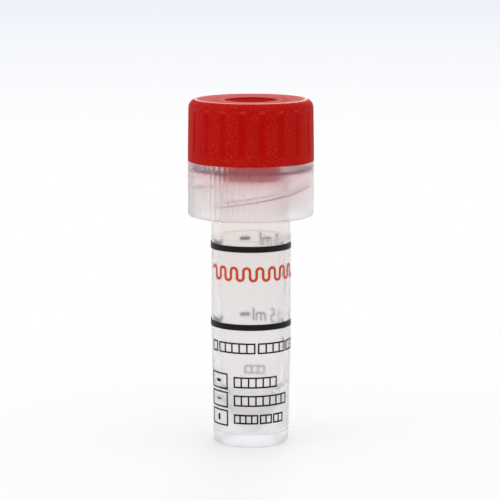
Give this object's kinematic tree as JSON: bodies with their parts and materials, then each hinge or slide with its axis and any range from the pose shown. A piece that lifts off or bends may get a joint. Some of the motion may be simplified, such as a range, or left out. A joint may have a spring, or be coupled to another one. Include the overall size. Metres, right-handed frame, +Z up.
{
  "type": "blood collection tube",
  "caption": "Small blood collection tube: clear tube with ribbed collar and hollow foot, film label with fill rings, and a red fluted lift-off cap over a slit rubber stopper.",
  "frame": {"origin": "centre of the foot ring that the tube stands on", "axes": "+Z up along the tube's axis to the cap, -Y towards the printed front of the label"},
  "size_m": [0.016, 0.016, 0.044],
  "materials": {
    "clear_polypropylene": "milky clear moulded polypropylene with a faint lilac cast",
    "red_cap": "moulded polyethylene, fine spark-eroded texture between smooth flutes",
    "red_rubber": "smooth soft elastomer",
    "label_film": "clear polypropylene film",
    "black_ink": "printed ink",
    "orange_ink": "printed ink",
    "grey_ink": "printed ink"
  },
  "bodies": {
    "tube": {"tube": "clear_polypropylene", "label": "label_film", "fill_rings": "black_ink", "wave_line_print": "orange_ink", "entry_fields_print": "black_ink", "volume_scale_print": "grey_ink"},
    "stopper": {"stopper": "red_rubber"},
    "cap": {"cap_shell": "red_cap"}
  },
  "joints": [
    {"name": "cap_lift", "type": "slide", "parent": "tube", "child": "stopper", "axis": [0, 0, 1], "range_m": [0, 0.015]},
    {"name": "cap_twist", "type": "hinge", "parent": "stopper", "child": "cap", "pos_m": [0, 0, 0.0425], "axis": [0, 0, 1], "continuous": true}
  ]
}
